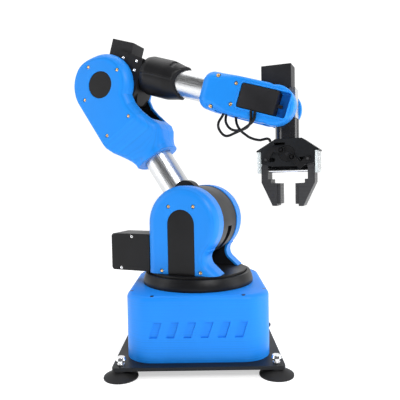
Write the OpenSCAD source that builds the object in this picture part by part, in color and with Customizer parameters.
// Desktop robot arm: six turning axes and a two-jaw gripper, in its folded-forward rest pose.
// Origin on the floor under the waist axis; +Z up, +X to the front of the base.

/* [Rest pose] */
// Turn of the waist from straight ahead, degrees
waist_rest = -22; // [-30:1:0]
// Lean of the upper arm behind the vertical, degrees
lean = 33.6; // [30:0.2:36]
// Slope of the forearm below the horizontal, degrees
droop = 17.6; // [15:0.2:20]

/* [Links] */
// Height of the shoulder axis above the floor
shoulder_z = 167.5; // [165:0.5:170]
// Shoulder axis to elbow axis
upper_len = 216.5; // [210:0.5:220]
// Elbow axis to wrist axis, along the forearm
fore_len = 223; // [218:0.5:226]
// Forearm tube axis above the elbow axis
fore_off = 30; // [29:0.5:31]
// Outer radius of the upper arm tube
upper_tube_r = 18.6; // [17:0.1:19]
// Outer radius of the forearm tube
fore_tube_r = 17.9; // [17:0.1:18.5]

/* [Base] */
// Width of the square base plate
plate_w = 193; // [188:1:200]
// Top of the base plate above the floor
plate_top = 13.5; // [12:0.5:15]
// Half width of the base housing
base_half = 84.5; // [80:0.5:86]
// Height of the base housing
base_h = 76; // [72:1:80]
// Corner radius of the base housing
base_corner = 33; // [25:1:36]
// Distance of each suction cup from the middle, along X and Y
cup_off = 87.5; // [85:0.5:88]
// Radius of a suction cup
cup_r = 19.5; // [18:0.5:22]

/* [Covers] */
// Radius of the round shoulder covers
cover_r = 46.3; // [45:0.1:47]
// Outer face of the shoulder covers from the arm's mid plane
cover_y = 52.5; // [50:0.5:54]
// Inner rim of the shoulder covers from the mid plane
cover_in = 26.8; // [26:0.1:28]
// Radius of the elbow arms
elbow_r = 42.5; // [41:0.5:44]
// Outer face of the elbow housing from the mid plane
elbow_y = 37.3; // [36:0.1:38]
// Half width of the slot between the elbow arms
elbow_in = 21.5; // [21:0.1:22]
// Half width of the wrist housing
wrist_y = 28; // [27:0.5:29]
// Wall of the printed covers
wall = 3; // [2.5:0.1:3.5]

/* [Gripper] */
// Tool axis in front of the wrist axis
tool_x = 16.2; // [15:0.1:17]
// Tool axis beside the mid plane
tool_y = 3.5; // [3:0.5:4]
// Gap between the finger pads at rest
jaw_gap = 17.6; // [12:0.2:24]

/* [Hidden] */
$fn = 96;
base_top = plate_top + base_h;
ring_top = base_top + 14;
disc_top = 106;
elbow_x = -upper_len * sin(lean);
elbow_z = shoulder_z + upper_len * cos(lean);
wrist_x = elbow_x + fore_len * cos(droop) + fore_off * sin(droop);
wrist_z = elbow_z - fore_len * sin(droop) + fore_off * cos(droop);
run = 0.05;            // radial clearance of a running fit
cover_foot = disc_top - shoulder_z;
waist_motor_y = 58;    // waist motor beside the waist axis
pinion_r = 6.5;
waist_pulley_r = 40;
shoulder_pulley_r = 9.5;
elbow_pulley_r = 22;
drive_x = -68;         // shoulder motor shaft behind the shoulder axis
drive_z = -38.5;
elbow_drive = [-11, -72];
belt_t = 1.2;
gx = 18.4;             // middle of the gripper in front of the wrist axis
crank_z = -59.5;
crank_r = 7.5;
crank_a = 145.5;       // direction of the crank's left pin
pin_z = -66.5;         // height of the jaw pins
pin_off = 24.5;        // jaw pins from the middle of the gripper
rod_z = -79.5;
link_hole = 3;          // the crank pins are loose in the links, the open ends of the linkage
fork_front = -10.9;     // inner faces of the wrist fork
fork_rear = 17.9;
// Two leads from the forearm to the wrist servo, and the gripper's lead, in forearm axes
lead_a = [[172, -20, 13], [172.4, -20, 6], [171.2, -20.3, 0], [169.6, -21, -5.5], [169.9, -21.6, -10],
    [172.2, -22.3, -14.2], [176.4, -23, -17.8], [180.6, -23.5, -20], [184.8, -24, -20.4], [189, -24.5, -18.6],
    [193, -25, -15.6], [200.4, -26, -10], [205, -27.2, -6], [209.5, -28.8, -1.5], [213.3, -30, 3.6],
    [214.2, -30, 9], [213.2, -30, 13.5], [213, -30, 16.2]];
lead_b = [[174.5, -15.6, 13], [174.4, -15.8, 6], [174.8, -16, 1], [176.2, -16.3, -3.6], [178.9, -16.7, -7],
    [182.8, -17.2, -9.8], [187.6, -18, -11.3], [193.2, -19.5, -11], [198.6, -21, -9.4], [203, -22.8, -7.4],
    [206.8, -24.8, -4.6], [209.5, -27.4, -1.4], [210.9, -29.8, 2.4], [210, -30, 8], [208.4, -30, 13],
    [208, -30, 16.2]];
grip_lead = [[186, -15, 12], [186.6, -15, 6], [188.6, -15, 0], [191.6, -15, -4.6], [196, -15, -8.6],
    [200, -14.6, -11], [204.6, -14, -12.8], [209, -13.4, -14.4], [213.8, -13, -15.1], [219, -12.5, -15.1],
    [223.4, -12, -14.4], [227, -11.4, -12.5], [230.2, -10.6, -10.8], [232.7, -9.8, -10.7], [234.1, -9.2, -11.8],
    [235, -8.8, -13.4]];

// ---- Frames of the links, at rest ----
module arm_frame() rotate([0, 0, waist_rest]) children();
module shoulder_frame() arm_frame() translate([0, 0, shoulder_z]) children();
module upper_frame() shoulder_frame() rotate([0, -lean, 0]) children();
module elbow_frame_at() upper_frame() translate([0, 0, upper_len]) children();
module fore_frame() arm_frame() translate([elbow_x, 0, elbow_z]) rotate([0, droop, 0]) children();
module hand_frame() arm_frame() translate([wrist_x, 0, wrist_z]) children();

// ---- Shared shapes ----
// An outline in the X-Z plane, made thick from y0 to y1
module slab(y0, y1) translate([0, y1, 0]) rotate([90, 0, 0]) linear_extrude(y1 - y0) children();
module ycyl(r, y0, y1) translate([0, y1, 0]) rotate([90, 0, 0]) cylinder(r = r, h = y1 - y0);
module ytube(r, bore, y0, y1) difference() {
    ycyl(r, y0, y1);
    ycyl(bore, y0 - 1, y1 + 1);
}
// A cylinder along X from x0 to x1
module xcyl(r, x0, x1) translate([x0, 0, 0]) rotate([0, 90, 0]) cylinder(r = r, h = x1 - x0);
module box(a, b) translate(a) cube(b - a);
module round_square(half, r) union() {
    square([2 * half, 2 * (half - r)], center = true);
    square([2 * (half - r), 2 * half], center = true);
    for (x = [-1, 1], y = [-1, 1]) translate([x, y] * (half - r)) circle(r);
}
module round_rect(a, b, r) union() {
    translate(a + [r, 0]) square(b - a - [2 * r, 0]);
    translate(a + [0, r]) square(b - a - [0, 2 * r]);
    for (x = [a[0] + r, b[0] - r], y = [a[1] + r, b[1] - r]) translate([x, y]) circle(r);
}
// Flat loop of a belt of thickness belt_t round two pulleys, as an outline
module belt_outline(c0, r0, c1, r1) {
    module taut(e) hull() {
        translate(c0) circle(r0 + e, $fn = 48);
        translate(c1) circle(r1 + e, $fn = 24);
    }
    difference() {
        taut(belt_t + 0.3);
        taut(0.3);
    }
}
// Tube swept along a list of points, closed at both ends
function unit(v) = v / norm(v);
function tangent(p, i) = unit(p[min(i + 1, len(p) - 1)] - p[max(i - 1, 0)]);
function ring_points(p, r, i, n) = let(t = tangent(p, i), u = unit(cross(t, [0.13, 1, 0.11])), v = cross(t, u))
    [for (k = [0 : n - 1]) p[i] + r * (cos(360 * k / n) * u + sin(360 * k / n) * v)];
module swept(p, r, n = 8) polyhedron(
    points = [for (i = [0 : len(p) - 1]) each ring_points(p, r, i, n)],
    faces = concat([[for (k = [0 : n - 1]) k]],
        [for (i = [0 : len(p) - 2], k = [0 : n - 1])
            [i * n + k, (i + 1) * n + k, (i + 1) * n + (k + 1) % n, i * n + (k + 1) % n]],
        [[for (k = [n - 1 : -1 : 0]) (len(p) - 1) * n + k]]));

// ---- Base ----
module base_plate() color("#26272b") translate([0, 0, plate_top - 4]) difference() {
    linear_extrude(4) round_square(plate_w / 2, 4);
    for (x = [-1, 1], y = [-1, 1]) translate([x * cup_off, y * cup_off, -1]) cylinder(r = 3.2, h = 6);
}
module suction_cups() color("#1d1d1f") for (x = [-1, 1], y = [-1, 1]) translate([x, y, 0] * cup_off)
    rotate_extrude() polygon([[0, 0.4], [9, 0.4], [cup_r - 1.5, 0], [cup_r, 0], [cup_r, 1.6], [10, 6.5],
        [7, 7.5], [7, plate_top - 4], [0, plate_top - 4]]);
module cup_screws() color("#d6d7da") for (x = [-1, 1], y = [-1, 1]) translate([x, y, 0] * cup_off) {
    translate([0, 0, plate_top - 4]) cylinder(r = 3.2, h = 4);
    translate([0, 0, plate_top]) cylinder(r = 4.2, h = 2);
    translate([0, 0, plate_top + 2]) cylinder(r = 3.4, h = 4);
    translate([0, 0, plate_top + 6]) cylinder(r1 = 5.7, r2 = 4.6, h = 3.4);
}
module base_housing() color("#2a9bf5") difference() {
    translate([0, 0, plate_top]) linear_extrude(base_h) round_square(base_half, base_corner);
    translate([0, 0, plate_top - 1]) linear_extrude(base_h - wall + 1)
        round_square(base_half - wall, base_corner - wall);
    cylinder(r = 50, h = base_top + 1);
    box([-base_half - 1, -46, plate_top + 10], [-base_half + wall + 1, 46, plate_top + 46]);
    translate([base_half - wall - 1, 0, 38]) rotate([0, 90, 0]) cylinder(r = 4.1, h = wall + 2);
    for (p = housing_screw_at) translate([p[0], p[1], base_top - 1.2]) cylinder(r = 2.2, h = 2);
}
housing_screw_at = [for (s = [-1, 1], t = [-52, 52], q = [0, 1]) q == 0 ? [t, s * 79] : [s * 79, t]];
module housing_screws() color("#20242c") for (p = housing_screw_at)
    translate([p[0], p[1], base_top - 1.2]) cylinder(r = 2.2, h = 0.9);
module base_ring() color("#242426") translate([0, 0, base_top]) rotate_extrude()
    polygon([[63.5, 0], [70.9, 0], [71.2, 3], [70.2, 8], [67.6, 14], [63.5, 14]]);
module slewing_ring() color("#8d9096") translate([0, 0, base_top]) rotate_extrude()
    translate([45 + run, 0]) square([13, 9]);
module waist_motor() color("#3a3b3f") translate([0, waist_motor_y, 24]) {
    linear_extrude(38) round_square(21, 4);
    translate([0, 0, 38]) cylinder(r = 11, h = 2);
    cylinder(r = 2.5, h = 55);
}
module waist_pinion() color("#b9bcc2") translate([0, waist_motor_y, 68]) difference() {
    union() {
        cylinder(r = pinion_r, h = 9);
        cylinder(r = pinion_r + 1.5, h = 1);
    }
    translate([0, 0, -1]) cylinder(r = 2.5 + run, h = 12);
}
module waist_belt() color("#1a1a1a") translate([0, 0, 70]) linear_extrude(6)
    belt_outline([0, 0], waist_pulley_r, [0, waist_motor_y], pinion_r);
module waist_pulley() color("#b9bcc2") difference() {
    union() {
        translate([0, 0, 69.4]) cylinder(r = waist_pulley_r, h = 8);
        translate([0, 0, 77.4]) cylinder(r = 43, h = 1.6);
    }
    translate([0, 0, 60]) cylinder(r = 20, h = 40);
}
module controller_board() color("#1f6b3a") {
    box([-10, -66, 22], [75, -10, 23.6]);
    for (x = [-6, 71], y = [-62, -14]) translate([x, y, plate_top]) cylinder(r = 2.5, h = 22 - plate_top);
    box([8, -52, 23.6], [24, -36, 26]);
    box([34, -50, 23.6], [50, -34, 25]);
    for (k = [0 : 2]) box([-6 + 22 * k, -26, 23.6], [10 + 22 * k, -14, 33]);
}
module rear_panel() color("#222326") difference() {
    box([-base_half, -46, plate_top + 10], [-base_half + wall, 46, plate_top + 46]);
    for (w = panel_windows) box([-base_half - 1, w[0], w[2]], [-base_half + wall + 1, w[1], w[3]]);
    translate([-base_half - 1, 36, 50]) rotate([0, 90, 0]) cylinder(r = 4, h = wall + 2);
    translate([-base_half + 1.6, 26.5, 28.5]) cylinder(r = 1 + run, h = 11);
}
// Windows in the rear panel: y from, y to, z from, z to
panel_windows = [[-40, -23, 28, 42], [-19, -5, 28, 44], [-1, 13, 28, 44], [20, 33, 29.5, 38.5]];
module rear_connectors() {
    for (k = [0 : 2]) let(w = panel_windows[k]) color("#b8bbc0") difference() {
        box([-base_half + 0.5, w[0], w[2]], [-base_half + 17, w[1], w[3]]);
        box([-base_half - 1, w[0] + 1.5, w[2] + 1.5], [-base_half + 10, w[1] - 1.5, w[3] - 1.5]);
    }
    color("#17181a") translate([-base_half, 36, 50]) rotate([0, 90, 0]) difference() {
        cylinder(r = 4, h = 14);
        translate([0, 0, -1]) cylinder(r = 2.75, h = 10);
    }
}
module power_switch() color("#b3261e") translate([-base_half + 1.6, 26.5, 34]) rotate([0, 90, 0]) translate([0, 0, -2.4]) {
    box([-4.1, -6.1, 0], [4.1, 6.1, 3.6]);
    translate([-5, 0, 2.4]) rotate([0, 90, 0]) cylinder(r = 1, h = 10);
}
module front_button() color("#26272b") translate([base_half - wall - 1, 0, 38]) rotate([0, 90, 0]) {
    cylinder(r = 4, h = wall + 3);
    cylinder(r = 5, h = 0.9);
}

// ---- Shoulder, turning on the base ----
module turntable() color("#2a2b2e") difference() {
    union() {
        translate([0, 0, 99]) cylinder(r = 62.6, h = disc_top - 99);
        translate([0, 0, 79]) cylinder(r = 45, h = 20.5);
    }
    translate([0, 0, 78]) cylinder(r = 18, h = 30);
}
// Outline of a shoulder cover seen from the side: round top, straight back, waisted front
module cover_outline(inset = 0) difference() {
    union() {
        circle(cover_r - inset);
        translate([-cover_r + inset, cover_foot]) square([cover_r, -cover_foot]);
        polygon([[-5, 0], [-5, cover_foot], [46.8 - 1.8 * inset, cover_foot], [35 - inset, -51], [35 - inset, -31.6],
            [30 - inset, -25]]);
    }
    translate([43, -41.5]) circle(12.5 + inset);
}
module shoulder_cover(side) shoulder_frame() mirror([0, side > 0 ? 1 : 0, 0]) difference() {
    slab(-cover_y, -cover_in) cover_outline();
    slab(-cover_y + wall, -cover_in + 1) cover_outline(wall);
    slab(-cover_y - 1, -cover_y + 1.6) arch_outline(0);
    for (p = cover_screw_at) translate([p[0], 0, p[1]]) ycyl(1.9, -cover_y - 1, -cover_y + wall + 1);
    if (side < 0) box([-cover_r - 1, -46.5, -40], [-cover_r + wall + 1, -35, -13]);
}
cover_screw_at = [[-16, 21.2], [16.6, 21.2], [-26.5, -57.5], [24.6, -57.5]];
module arch_outline(inset) union() {
    circle(17.6 - inset);
    translate([-17.6 + inset, cover_foot + inset]) square([2 * (17.6 - inset), -cover_foot - inset]);
}
module shoulder_cover_front() color("#2f8df0") shoulder_cover(-1);
module shoulder_cover_rear() color("#2f8df0") shoulder_cover(1);
module cover_inlays() color("#28282a") shoulder_frame() for (s = [0, 1]) mirror([0, s, 0])
    slab(-cover_y + 0.2, -cover_y + 1.6) arch_outline(0.1);
module shoulder_screws() color("#c08a4a") shoulder_frame() {
    for (s = [0, 1], p = cover_screw_at)
        mirror([0, s, 0]) translate([p[0], 0, p[1]]) ycyl(1.9, -cover_y + 1.4, -cover_y + wall + 6);
    for (p = motor_screw_at) translate([p[0], 0, p[1]]) ycyl(1.7, -45.6, -45);
}
module shoulder_plates() color("#2d2e31") shoulder_frame() for (s = [0, 1]) mirror([0, s, 0]) difference() {
    slab(-31, -cover_in - 0.4) cover_outline(wall + 0.1);
    ycyl(8 + run, -32, -26);
}
module motor_cover() color("#1c1c1e") shoulder_frame() difference() {
    slab(-46, -9) round_rect([-102, -61.2], [-cover_r, -14], 4);
    slab(-44.5, -10.5) polygon([[-100.5, -59.7], [-45, -59.7], [-45, -15.5], [-100.5, -15.5]]);
    for (p = motor_screw_at) translate([p[0], 0, p[1]]) ycyl(2.2, -47, -45);
}
motor_screw_at = [[-72, -17.6], [-88, -58.2]];
module shoulder_motor() color("#3a3b3f") shoulder_frame() translate([drive_x, 0, drive_z]) {
    slab(-34, -10.5) round_square(20.9, 3);
    ycyl(2.5, -44, -34);
}
module shoulder_pinion() color("#b9bcc2") shoulder_frame() translate([drive_x, 0, drive_z])
    ytube(pinion_r, 2.5 + run, -44, -36);
module shoulder_belt() color("#1a1a1a") shoulder_frame() slab(-43, -37)
    belt_outline([0, 0], shoulder_pulley_r, [drive_x, drive_z], pinion_r);

// ---- Upper arm, leaning on the shoulder axis ----
module shoulder_drum() color("#2c2c2e") upper_frame() difference() {
    union() {
        ycyl(45.2, -26.3, 26.3);
        translate([16, 0, 33.5]) ycyl(16, -26.3, -12);
    }
    ycyl(8, -30, 30);
    translate([0, 0, 20]) cylinder(r = upper_tube_r, h = 60);
    slab(-6, 8) difference() {
        circle(50);
        circle(36);
        rotate(-41) translate([-60, 0]) square([120, 60]);
        rotate(-84) translate([-60, -60]) square([120, 60]);
    }
}
module shoulder_axle() color("#b9bcc2") upper_frame() {
    ycyl(8, -46, 38);
    ytube(shoulder_pulley_r, 8, -43.6, -36.4);
}
module upper_arm_tube() color("#c9cbce") upper_frame() translate([0, 0, 20]) difference() {
    cylinder(r = upper_tube_r, h = upper_len - 20 - 92);
    translate([0, 0, -1]) cylinder(r = upper_tube_r - 2, h = 200);
}
// Outline of the elbow housing: round arms, straight back, full front, collar round the tube
module elbow_outline(inset = 0) union() {
    circle(elbow_r - inset);
    polygon([[-elbow_r + inset, 0], [-elbow_r + inset, -72], [-39.5 + inset, -82], [-35 + inset, -90],
        [-30.5 + inset, -98], [-27.5 + inset, -105], [-26.5 + inset, -112], [-23.5 + inset, -117 + inset],
        [23.5 - inset, -117 + inset], [24.5 - inset, -112], [28 - inset, -104], [33 - inset, -95],
        [34 - inset, -86], [29.5 - inset, -74], [25.5 - inset, -60], [23.5 - inset, -46], [25.6 - inset, -34],
        [0, 0]]);
}
// Side limits of the housing, seen along the arm: full width at the axis, narrow at the collar
module elbow_width(inset = 0) rotate([90, 0, 90]) translate([0, 0, -60]) linear_extrude(120)
    polygon([for (s = [-1, 1], k = [0 : 3]) let(p = [[elbow_y - inset, 60], [elbow_y - inset, -66],
        [24 - inset, -111], [24 - inset, -130]][s < 0 ? k : 3 - k]) [s * p[0], p[1]]]);
module elbow_slot() slab(-elbow_in, elbow_in)
    polygon([[-60, 60], [-60, -48], [8, -48], [24, -72], [34, -79], [60, -79], [60, 60]]);
module elbow_cover(side) elbow_frame_at() mirror([0, side > 0 ? 1 : 0, 0]) difference() {
    intersection() {
        slab(-elbow_y, 0) elbow_outline();
        elbow_width();
    }
    intersection() {
        slab(-elbow_y + wall, 1) elbow_outline(wall);
        elbow_width(wall);
        box([-60, -60, -107], [60, 10, 60]);
    }
    elbow_slot();
    ycyl(17.6, -elbow_y - 1, -elbow_y + wall + 1);
    translate([0, 0, -140]) cylinder(r = upper_tube_r, h = 60);
    for (p = elbow_screw_at) translate([p[0], 0, p[1]]) ycyl(1.9, -elbow_y - 1, -elbow_y + wall + 1);
}
// Cover screws: across and along the arm, from the elbow axis
elbow_screw_at = [[-1, 30.7], [31.2, -0.6], [-30.8, -1], [10.6, -59.6], [-29.8, -60.7]];
module elbow_cover_front() color("#2f8df0") elbow_cover(-1);
module elbow_cover_rear() color("#2f8df0") elbow_cover(1);
module elbow_frame() color("#1b1b1d") elbow_frame_at() {
    for (s = [0, 1]) mirror([0, s, 0]) difference() {
        slab(-elbow_in - wall, -elbow_in) intersection() {
            elbow_outline(wall + 0.1);
            translate([-60, -90]) square([120, 150]);
        }
        ycyl(8 + run, -30, -20);
        translate([elbow_drive[0], 0, elbow_drive[1]]) ycyl(4, -30, -20);
    }
    slab(-elbow_in, elbow_in) polygon([[-38, -49], [8, -49], [24, -73], [27, -76], [27, -79], [22, -76.5],
        [6, -52], [-38, -52]]);
}
module elbow_caps() color("#2b2c2f") elbow_frame_at() for (s = [0, 1]) mirror([0, s, 0])
    ycyl(17.5, -elbow_y + 0.6, -elbow_y + wall);
module elbow_screws() color("#c08a4a") elbow_frame_at() for (s = [0, 1], p = elbow_screw_at)
    mirror([0, s, 0]) translate([p[0], 0, p[1]]) ycyl(1.9, -elbow_y + 1.2, -elbow_y + wall + 6);
module elbow_motor() color("#3a3b3f") elbow_frame_at() translate([elbow_drive[0], 0, elbow_drive[1]]) {
    slab(-17, 17) translate([0, -1]) square(36, center = true);
    ycyl(2.5, 17, 29.8);
}
module elbow_pinion() color("#b9bcc2") elbow_frame_at() translate([elbow_drive[0], 0, elbow_drive[1]])
    ytube(pinion_r, 2.5 + run, 24.8, 29.6);
module elbow_belt() color("#1a1a1a") elbow_frame_at() slab(25.2, 29.2)
    belt_outline([0, 0], elbow_pulley_r, elbow_drive, pinion_r);

// ---- Elbow link: bracket and roll servo ----
module elbow_axle() color("#b9bcc2") fore_frame() {
    ycyl(8, -32, 31);
    ytube(elbow_pulley_r, 8, 25, 29.4);
}
module forearm_bracket() color("#29292b") fore_frame() difference() {
    union() {
        slab(-21, 21) union() {
            circle(32);
            polygon([[0, 0], [0, 52], [44.6, 47], [44.6, 4], [40, -12], [28, -20]]);
        }
        xcyl(13, 38, 44.6);
    }
    ycyl(8, -30, 30);
    box([-13.2, -14.5, 18], [36, 14.5, 70]);
    slab(-30, 30) polygon([[-8, 52], [-8, 40], [6, 54]]);
    for (p = bracket_screw_at) translate([p[0], 0, p[1]]) ycyl(1.8, -22, -19);
    translate([0, 0, fore_off]) xcyl(8 + run, 30, 50);
}
bracket_screw_at = [[15, 42.5], [14, 36.5], [36, 42], [36, 30]];
module bracket_screws() color("#d6d7da") fore_frame() for (p = bracket_screw_at)
    translate([p[0], 0, p[1]]) ycyl(1.8, -21.2, -19);
module roll_servo() color("#333437") fore_frame() {
    box([-13, -14.25, 18.2], [21, 14.25, 64.7]);
    translate([0, 0, fore_off]) xcyl(11, 21, 24);
}

// ---- Forearm, rolling about its tube ----
module forearm_socket() color("#232325") fore_frame() difference() {
    union() {
        translate([45, 0, fore_off]) rotate([0, 90, 0]) cylinder(r1 = 24, r2 = 25.4, h = 8);
        translate([53, 0, fore_off]) rotate([0, 90, 0]) cylinder(r = 25.4, h = 30);
        translate([83, 0, fore_off]) rotate([0, 90, 0]) cylinder(r1 = 25.4, r2 = 22, h = 20.5);
        translate([0, 0, fore_off]) xcyl(8, 24.3, 46);
    }
    translate([0, 0, fore_off]) xcyl(fore_tube_r, 60, 120);
}
module forearm_tube() color("#c9cbce") fore_frame() translate([0, 0, fore_off]) difference() {
    xcyl(fore_tube_r, 60, 167);
    xcyl(fore_tube_r - 2, 59, 168);
}
// Outline of the wrist housing seen from the side: a long round-ended plate
module wrist_outline(inset = 0) union() {
    translate([231.3, 28]) circle(23.5 - inset);
    round_rect([134.5 + inset, 4.5 + inset], [232, 51.5 - inset], 14 - inset);
}
module wrist_housing() color("#2f8df0") fore_frame() difference() {
    slab(-wrist_y, wrist_y) wrist_outline();
    slab(fork_front, fork_rear) polygon([[170.5, 0], [170.5, 56], [260, 56], [260, 0]]);
    slab(-wrist_y + wall, wrist_y - wall) round_rect([140, 9], [167, 47], 6);
    translate([0, 0, fore_off]) xcyl(fore_tube_r, 120, 167);
    slab(-wrist_y - 1, fork_front - 1.6) round_rect([187.5, 15.5], [248, 44.5], 3);
    box([160, -23, 3], [190, -13, 14]);
    translate([fore_len, 0, fore_off]) ycyl(8 + run, fork_front - 3, fork_front + 1);
    translate([fore_len, 0, fore_off]) ycyl(6 + run, fork_rear - 1, 24);
    for (p = wrist_screw_at) translate([p[0], 0, p[1]]) ycyl(1.9, -wrist_y - 1, -wrist_y + 5);
}
wrist_screw_at = [[180, 42], [180, 17], [155, 46.5], [155.5, 9]];
module wrist_screws() color("#c08a4a") fore_frame() for (p = wrist_screw_at)
    translate([p[0], 0, p[1]]) ycyl(1.9, -wrist_y + 1, -wrist_y + 5);
module wrist_servo() color("#2f3033") fore_frame() {
    slab(-wrist_y - 2.5, fork_front - 1.7) round_rect([189, 16.2], [234.3, 43.8], 1.5);
    box([234.3, -20, 26], [240, -17, 30]);
}
module servo_leads() color("#161617") fore_frame() {
    swept(lead_a, 1.6);
    swept(lead_b, 1.6);
}

// ---- Hand, tilting on the wrist axis ----
module hand_bracket() color("#dfe1e4") hand_frame() difference() {
    union() {
        ycyl(15, -6, 13);
        slab(13, 16.2) intersection() {
            circle(27.5);
            translate([-14, -17.6]) square([60, 35.2]);
        }
        box([2, -6, -17.6], [28, 13, 17.6]);
        ycyl(6, 16, 23.8);
        ycyl(8, fork_front - 1.5, -6);
    }
    translate([tool_x, tool_y, -40]) cylinder(r = 4 + run, h = 80);
}
module tool_servo() color("#202124") hand_frame()
    box([-12, tool_y - 12, 17.8], [23.8, tool_y + 12, 45.5]);

// ---- Tool, rolling about the hand ----
module tool_flange() color("#232427") hand_frame() translate([tool_x, tool_y, 0]) {
    translate([0, 0, -42]) cylinder(r = 14.1, h = 23.6);
    translate([0, 0, -18.4]) cylinder(r = 4, h = 36);
}
module roof_outline() polygon([[gx - 36.5, -55.4], [gx - 13.5, -42], [gx + 17.5, -42], [gx + 36.5, -55.4],
    [gx + 36.5, -57], [gx - 36.5, -57]]);
module gripper_plates() color("#2c2c2f") hand_frame() translate([0, tool_y, 0]) difference() {
    union() {
        slab(-15, 15) difference() {
            roof_outline();
            polygon([[gx - 40, -60], [gx - 33, -55.6], [gx - 12.8, -43.8], [gx + 16.8, -43.8],
                [gx + 33, -55.6], [gx + 40, -60]]);
        }
        slab(-15, -12.6) polygon([[gx - 31, -54.4], [gx - 14, -43.8], [gx + 17, -43.8], [gx + 32.5, -54.4],
            [gx + 32.5, -70], [gx + 28, -71.5], [gx + 18, -74.4], [gx - 18, -74.4], [gx - 31, -71]]);
        slab(12.6, 15) polygon([[gx - 32.5, -54.4], [gx - 14, -43.8], [gx + 17, -43.8], [gx + 32.5, -54.4],
            [gx + 32.5, -78], [gx - 32.5, -78]]);
    }
    slab(-16, -12) round_rect([gx - 15, -49.6], [gx - 2, -46.4], 1);
    translate([gx, 0, crank_z]) ycyl(9.5, -16, -12);
    for (m = [0, 1]) translate([gx, 0, pin_z]) mirror([m, 0, 0]) slab(-16, -12)
        round_rect([pin_off - 10.6, -2.6], [pin_off + 2.6, 2.6], 2.5);
}
module gripper_servo() color("#1f2023") hand_frame() translate([gx, tool_y, crank_z]) {
    box([-12, -8, -12], [12, 12.6, 12]);
    ycyl(8.6, -13, -8);
    ycyl(2.5, -15.2, -13);
}
module side_plates() color("#dfeaea", 0.4) hand_frame() translate([gx, tool_y, 0]) for (s = [-1, 1])
    translate([s * 34, 0, 0]) box([-1.5, -15, -82.5], [1.5, 15, -57]);
module guide_rods() color("#c9cbce") hand_frame() translate([gx, tool_y, rod_z]) for (y = [-7, 7])
    translate([0, y, 0]) xcyl(2, -32.5, 32.5);
module gripper_lead() color("#161617") fore_frame() swept(grip_lead, 1.6);
module gripper_crank() color("#3a3b3e") hand_frame() translate([gx, tool_y, crank_z]) difference() {
    union() {
        ycyl(9.2, -15.2, -13.2);
        for (s = [0, 180]) rotate([0, -crank_a - s, 0]) translate([crank_r, 0, 0]) ycyl(1.5, -19.4, -15.2);
    }
    ycyl(2.5 + run, -16, -13);
}
// A link from the jaw pin at the origin to the crank pin at p, bowed by one middle point
module gripper_link(p, bow) difference() {
    slab(-18, -15.8) union() {
        circle(3.4);
        translate(p) circle(4);
        translate(bow) circle(3.4);
        link_bar([0, 0], bow);
        link_bar(bow, p);
    }
    ycyl(1.5 + run, -20, -10);
    translate([p[0], 0, p[1]]) ycyl(link_hole, -20, -10);
}
module link_bar(a, b) translate(a) rotate(atan2(b[1] - a[1], b[0] - a[0]))
    translate([0, -3]) square([norm(b - a), 6]);
crank_pin = crank_r * [cos(crank_a), sin(crank_a)];
module link_left() color("#333437") hand_frame() translate([gx - pin_off, tool_y, pin_z])
    gripper_link([pin_off, crank_z - pin_z] + crank_pin, [7, 12]);
module link_right() color("#333437") hand_frame() translate([gx + pin_off, tool_y, pin_z])
    gripper_link([-pin_off, crank_z - pin_z] - crank_pin, [-9, -7.5]);
// One jaw, on the +X side of the middle: carriage, pin and finger
module jaw() difference() {
    union() {
        slab(-11.5, 11.5) polygon([[23.5, -76], [31.6, -76], [31.6, -89.5], [23.5, -89.5]]);
        slab(-12.4, -10) polygon([[20.5, -63], [28.5, -63], [31.6, -76], [23.5, -76]]);
        slab(-11.5, 11.5) polygon([[20, -89.5], [31.6, -89.5], [31.6, -93.5], [18.2, -121.5], [12.8, -121.5],
            [jaw_gap / 2 + 4, -120], [jaw_gap / 2 + 4, -94.5], [20, -94]]);
        slab(-10, 10) polygon([[jaw_gap / 2, -94.5], [jaw_gap / 2 + 4.2, -94.5], [jaw_gap / 2 + 4.2, -119],
            [jaw_gap / 2, -119]]);
        translate([pin_off, 0, pin_z]) ycyl(1.5, -19.4, -11);
    }
    for (y = [-7, 7]) translate([0, y, rod_z]) xcyl(2 + run, 0, 60);
}
module jaw_left() color("#2a2b2e") hand_frame() translate([gx, tool_y, 0]) mirror([1, 0, 0]) jaw();
module jaw_right() color("#2a2b2e") hand_frame() translate([gx, tool_y, 0]) jaw();

base_plate();
suction_cups();
cup_screws();
base_housing();
housing_screws();
base_ring();
slewing_ring();
waist_motor();
waist_belt();
controller_board();
rear_panel();
rear_connectors();
waist_pinion();
power_switch();
front_button();
turntable();
waist_pulley();
shoulder_cover_front();
shoulder_cover_rear();
cover_inlays();
shoulder_screws();
shoulder_plates();
motor_cover();
motor_cover_screws();
shoulder_motor();
shoulder_belt();
shoulder_pinion();
shoulder_drum();
shoulder_axle();
upper_arm_tube();
elbow_frame();
elbow_cover_front();
elbow_cover_rear();
elbow_caps();
elbow_screws();
elbow_motor();
elbow_belt();
elbow_pinion();
elbow_axle();
forearm_bracket();
bracket_screws();
roll_servo();
forearm_socket();
forearm_tube();
wrist_housing();
wrist_servo();
wrist_screws();
servo_leads();
hand_bracket();
tool_servo();
tool_flange();
gripper_plates();
gripper_servo();
guide_rods();
side_plates();
gripper_lead();
gripper_crank();
link_left();
link_right();
jaw_left();
jaw_right();
